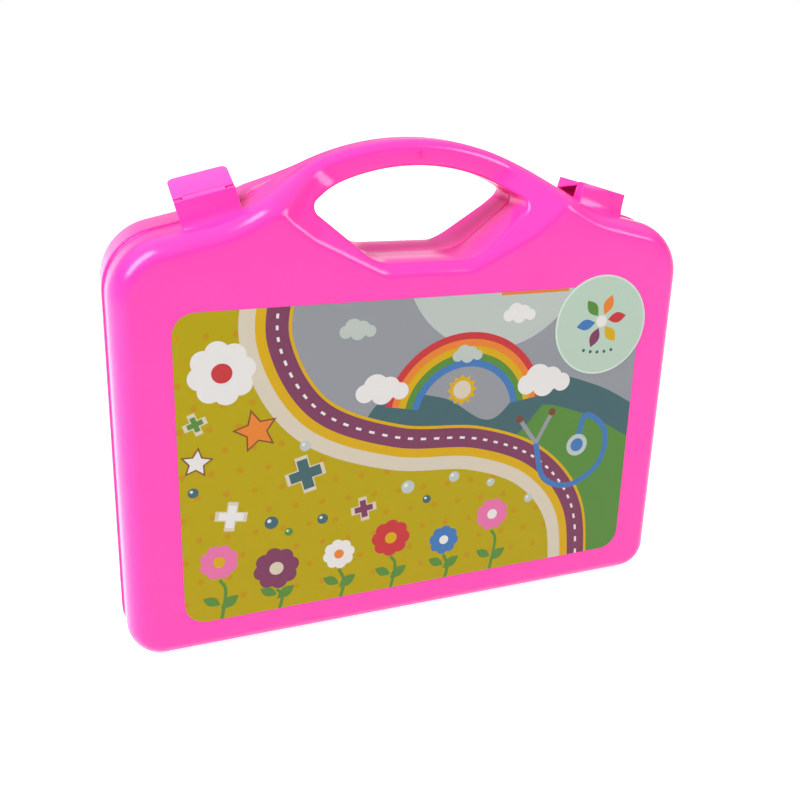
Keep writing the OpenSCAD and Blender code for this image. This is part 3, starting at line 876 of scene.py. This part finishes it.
def printed(name, border, shapes, at, turn, front, back):
    """A film with a flat printed front: its border, wall and back, and its picture's inks."""
    c, s = math.cos(math.radians(turn)), math.sin(math.radians(turn))

    def to_case(points, depth):
        x = at[0] + c * points[:, 0] - s * points[:, 1]
        z = at[1] + s * points[:, 0] + c * points[:, 1]
        return np.stack([x, np.full(len(x), depth), z], 1)

    n = len(border)
    flat, edges = [border], [(i, (i + 1) % n) for i in range(n)]
    for _, loop in shapes:
        first, m = sum(len(f) for f in flat), len(loop)
        flat.append(loop)
        edges += [(first + i, first + (i + 1) % m) for i in range(m)]
    made = delaunay_2d_cdt([Vector(p) for p in np.vstack(flat)], edges, [], 0, 1e-4)
    points = np.array([list(p) for p in made[0]])
    tris = np.array([list(f) for f in made[2]])
    tris = tris[inside(points[tris].mean(1), border)]
    middle = points[tris].mean(1)
    inks = list(dict.fromkeys(ink for ink, _ in shapes))
    chosen = np.zeros(len(tris), int)
    for ink, loop in shapes:
        low, high = loop.min(0), loop.max(0)
        near = np.flatnonzero(((middle >= low) & (middle <= high)).all(1))
        hit = near[inside(middle[near], loop)]
        chosen[hit] = inks.index(ink)
    # points of shapes that run past the border carry no face, so they are left out
    used, order = np.unique(tris, return_inverse=True)
    build = Builder()
    ids = build.add(to_case(points[used], front))
    for t, mark in zip(order.reshape(-1, 3), chosen):
        build.face([ids[k] for k in t], int(mark))
    rim = [build.add(to_case(border, d)) for d in (front, back)]
    build.strip(rim[0], rim[1])
    build.face(rim[1])
    obj = mesh_object(name, build, FRONT["side"], merge=1e-6, angle=30.0)
    marks = obj.data.attributes["mark"]
    for poly, value in zip(obj.data.polygons, marks.data):
        poly.material_index = value.value
    for ink in inks:
        obj.data.materials.append(INK[ink])
    return obj


# Materials


def colour(r, g, b):
    """Linear colour from sRGB bytes."""

    def one(v):
        v /= 255
        return v / 12.92 if v <= 0.04045 else ((v + 0.055) / 1.055) ** 2.4

    return (one(r), one(g), one(b), 1.0)


def noise(tree, scale, detail=2.0):
    """Noise over the object's own coordinates."""
    coords = tree.nodes.new("ShaderNodeTexCoord")
    node = tree.nodes.new("ShaderNodeTexNoise")
    node.inputs["Scale"].default_value = scale
    node.inputs["Detail"].default_value = detail
    tree.links.new(coords.outputs["Object"], node.inputs["Vector"])
    return node.outputs["Fac"]


def spread(tree, value, low, high):
    """The value's usual span mapped to low..high."""
    node = tree.nodes.new("ShaderNodeMapRange")
    node.inputs["From Min"].default_value = 0.3
    node.inputs["From Max"].default_value = 0.7
    node.inputs["To Min"].default_value = low
    node.inputs["To Max"].default_value = high
    tree.links.new(value, node.inputs["Value"])
    return node.outputs["Result"]


def plastic(name, rgb, rough=0.2):
    """Glossy moulded plastic: cloudy colour, uneven gloss, faint sinks and orange peel."""
    mat = bpy.data.materials.new(name)
    mat.use_nodes = True
    tree = mat.node_tree
    links = tree.links
    shader = tree.nodes["Principled BSDF"]
    base = colour(*rgb)
    mix = tree.nodes.new("ShaderNodeMix")
    mix.data_type = "RGBA"
    mix.inputs["A"].default_value = base
    mix.inputs["B"].default_value = tuple(c * 0.93 for c in base[:3]) + (1,)
    links.new(noise(tree, 14.0, 3.0), mix.inputs["Factor"])
    links.new(mix.outputs["Result"], shader.inputs["Base Color"])
    gloss = spread(tree, noise(tree, 40.0, 3.0), rough - 0.03, rough + 0.03)
    links.new(gloss, shader.inputs["Roughness"])
    shader.inputs["Specular IOR Level"].default_value = 0.38
    height = tree.nodes.new("ShaderNodeMath")
    height.operation = "MULTIPLY_ADD"
    height.inputs[1].default_value = 0.02
    links.new(noise(tree, 900.0), height.inputs[0])
    links.new(noise(tree, 26.0, 1.0), height.inputs[2])
    bumps = tree.nodes.new("ShaderNodeBump")
    bumps.inputs["Strength"].default_value = 0.25
    bumps.inputs["Distance"].default_value = 0.0004
    links.new(height.outputs["Value"], bumps.inputs["Height"])
    links.new(bumps.outputs["Normal"], shader.inputs["Normal"])
    return mat


def plain(name, rgb, rough=0.35):
    mat = bpy.data.materials.new(name)
    mat.use_nodes = True
    shader = mat.node_tree.nodes["Principled BSDF"]
    shader.inputs["Base Color"].default_value = colour(*rgb)
    shader.inputs["Roughness"].default_value = rough
    return mat


PINK = plastic("shell_pink", (255, 58, 177))
# Painted light: the flaps get a lighter copy of the shell's pink, which stands in for the brighter light on
# their thin, up-facing plates
FLAP_PINK_PAINTED_LIGHT = plastic("clip_pink", (255, 70, 184))
STEEL = plain("pin_steel", (170, 170, 175), 0.3)
STEEL.node_tree.nodes["Principled BSDF"].inputs["Metallic"].default_value = 1.0

for name, half, node, body in (
    ("front_case", FRONT, "front_shell", "front_half"),
    ("back_case", BACK, "back_shell", "back_half"),
):
    obj = half_object(name, half)
    obj.data.materials.clear()
    obj.data.materials.append(PINK)
    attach(obj, body)
    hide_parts(node)

for name, side, lift, node, body in (
    ("left_flap", -1, 19.0, "clip_left", "flap_left"),
    ("right_flap", 1, 0.0, "clip_right", "flap_right"),
):
    obj = flap(name, side, lift)
    obj.data.materials.clear()
    # the flaps take the lighter pink, which is painted light
    obj.data.materials.append(FLAP_PINK_PAINTED_LIGHT)
    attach(obj, body)
    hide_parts(node)


def ink(name, rgb):
    """Printed film: ink with a fine mottle and a faintly wavy glossy skin."""
    mat = bpy.data.materials.new("ink_" + name)
    mat.use_nodes = True
    tree = mat.node_tree
    shader = tree.nodes["Principled BSDF"]
    mix = tree.nodes.new("ShaderNodeMix")
    mix.data_type = "RGBA"
    base = colour(*rgb)
    mix.inputs["A"].default_value = tuple(c * 0.97 for c in base[:3]) + (1,)
    mix.inputs["B"].default_value = tuple(min(1, c * 1.03) for c in base[:3]) + (1,)
    tree.links.new(noise(tree, 1500.0, 3.0), mix.inputs["Factor"])
    tree.links.new(mix.outputs["Result"], shader.inputs["Base Color"])
    tree.links.new(spread(tree, noise(tree, 60.0), 0.3, 0.36), shader.inputs["Roughness"])
    shader.inputs["Specular IOR Level"].default_value = 0.16
    bumps = tree.nodes.new("ShaderNodeBump")
    bumps.inputs["Strength"].default_value = 0.12
    bumps.inputs["Distance"].default_value = 0.0003
    tree.links.new(noise(tree, 30.0), bumps.inputs["Height"])
    tree.links.new(bumps.outputs["Normal"], shader.inputs["Normal"])
    return mat


INK = {name: ink(name, rgb) for name, rgb in INKS.items()}
deep = FRONT["depth"]
for name, border, shapes, at, turn, front, node in (
    (
        "label_film",
        round_box(LABEL["w"], LABEL["h"], LABEL["r"]),
        label_shapes(),
        (LABEL["x"], LABEL["z"]),
        LABEL["turn"],
        deep + LABEL_FRONT,
        "front_label",
    ),
    (
        "round_film",
        circle(0, 0, STICKER["r"], 96),
        round_shapes(),
        (STICKER["x"], STICKER["z"]),
        STICKER["turn"],
        deep + STICKER_FRONT,
        "round_sticker",
    ),
):
    obj = printed(name, border, shapes, at, turn, front, deep + FILM_BACK)
    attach(obj, "front_half")
    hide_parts(node)

for node in ("hinge_pin_left", "hinge_pin_right"):
    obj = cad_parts[node]
    obj.data.materials.clear()
    obj.data.materials.append(STEEL)

# Floor, light and camera


def seen(tree, others, straight):
    """Output of one value for camera, glossy and transmission rays and another for the rest."""
    path = tree.nodes.new("ShaderNodeLightPath")
    glossy, both = tree.nodes.new("ShaderNodeMath"), tree.nodes.new("ShaderNodeMath")
    for node in (glossy, both):
        node.operation = "ADD"
        node.use_clamp = True
    tree.links.new(path.outputs["Is Camera Ray"], glossy.inputs[0])
    tree.links.new(path.outputs["Is Glossy Ray"], glossy.inputs[1])
    tree.links.new(glossy.outputs["Value"], both.inputs[0])
    tree.links.new(path.outputs["Is Transmission Ray"], both.inputs[1])
    pick = tree.nodes.new("ShaderNodeMapRange")
    pick.inputs["To Min"].default_value = others
    pick.inputs["To Max"].default_value = straight
    tree.links.new(both.outputs["Value"], pick.inputs["Value"])
    return pick.outputs["Result"]


def floor_object():
    mesh = bpy.data.meshes.new("floor")
    s = 4.0
    mesh.from_pydata([(-s, -s, 0), (s, -s, 0), (s, s, 0), (-s, s, 0)], [], [(0, 1, 2, 3)])
    obj = bpy.data.objects.new("floor", mesh)
    bpy.context.scene.collection.objects.link(obj)
    mat = plain("floor", (242, 242, 242), 0.8)
    shader = mat.node_tree.nodes["Principled BSDF"]
    shader.inputs["Emission Color"].default_value = (1, 1, 1, 1)
    mat.node_tree.links.new(seen(mat.node_tree, 0.0, 0.8), shader.inputs["Emission Strength"])
    obj.data.materials.append(mat)


floor_object()


def softbox(name, way, along, distance, width, length, radiance):
    """A lamp in the given direction, facing the case, its length along the second one."""
    data = bpy.data.lights.new(name, "AREA")
    data.shape = "RECTANGLE"
    data.size, data.size_y = width, length
    data.energy = radiance * math.pi * width * length
    obj = bpy.data.objects.new(name, data)
    out = Vector(way).normalized()
    up = Vector(along)
    up = (up - up.dot(out) * out).normalized()
    turn = Matrix([up.cross(out), up, out]).transposed().to_4x4()
    obj.matrix_world = Matrix.Translation(Vector((0, 0, 0.13)) + out * distance) @ turn
    bpy.context.scene.collection.objects.link(obj)


softbox("left_box", (-0.68, -0.18, 0.71), (0, 0, 1), 1.3, 0.5, 0.95, 12.5)
softbox("right_box", (0.61, -0.61, 0.50), (0, 0, 1), 1.3, 0.42, 0.6, 8.5)

world = bpy.data.worlds.new("studio")
bpy.context.scene.world = world
world.use_nodes = True
background = world.node_tree.nodes["Background"]
ray = world.node_tree.nodes.new("ShaderNodeTexCoord")
height = world.node_tree.nodes.new("ShaderNodeSeparateXYZ")
world.node_tree.links.new(ray.outputs["Generated"], height.inputs["Vector"])
fall = world.node_tree.nodes.new("ShaderNodeValToRGB")
fall.color_ramp.elements[0].position = 0.09
fall.color_ramp.elements[0].color = (1, 1, 1, 1)
fall.color_ramp.elements[1].position = 0.62
fall.color_ramp.elements[1].color = (1, 1, 1, 1)
for spot in (0.2, 0.42):
    fall.color_ramp.elements.new(spot).color = (0.35, 0.35, 0.35, 1)
world.node_tree.links.new(height.outputs["Z"], fall.inputs["Fac"])
world.node_tree.links.new(fall.outputs["Color"], background.inputs["Color"])
world.node_tree.links.new(seen(world.node_tree, 0.44, 1.0), background.inputs["Strength"])


# The photograph's camera: turns in degrees, place in millimetres, the rest in pixels
CAMERA_TURN = (-23.6994, 17.8234, -2.8891)
CAMERA_PLACE = (-23.8908, 37.168, 476.5993)
IMAGE, FOCAL, MIDDLE_X, MIDDLE_Y = 800, 948.895, 450.704, 350.534
SENSOR = 36.0


def photo_camera():
    """The photograph's camera, from its fit to the case's corners and mirror pairs."""
    yaw, pitch, roll = (math.radians(v) for v in CAMERA_TURN)
    back = np.array(
        [math.sin(yaw) * math.cos(pitch), -math.cos(yaw) * math.cos(pitch), math.sin(pitch)]
    )
    right = unit(np.cross(-back, [0, 0, 1]))
    down = np.cross(-back, right)
    c, s = math.cos(roll), math.sin(roll)
    r2, d2 = c * right + s * down, -s * right + c * down
    turn = np.array([r2, d2, -back])
    at = -turn.T @ np.array(CAMERA_PLACE) + [0, PARTING, LABEL["z"]]
    data = bpy.data.cameras.new("camera")
    data.sensor_width = SENSOR
    data.lens = FOCAL * SENSOR / IMAGE
    data.shift_x = (IMAGE / 2 - MIDDLE_X) / IMAGE
    data.shift_y = (MIDDLE_Y - IMAGE / 2) / IMAGE
    obj = bpy.data.objects.new("camera", data)
    axes = np.stack([r2, -d2, back], 1)
    rows = [[*axes[i], at[i] * MM] for i in range(3)]
    obj.matrix_world = Matrix(rows + [[0, 0, 0, 1]])
    data.clip_start, data.clip_end = 0.01, 50
    bpy.context.scene.collection.objects.link(obj)
    bpy.context.scene.camera = obj


photo_camera()
bpy.context.scene.view_settings.view_transform = "Standard"
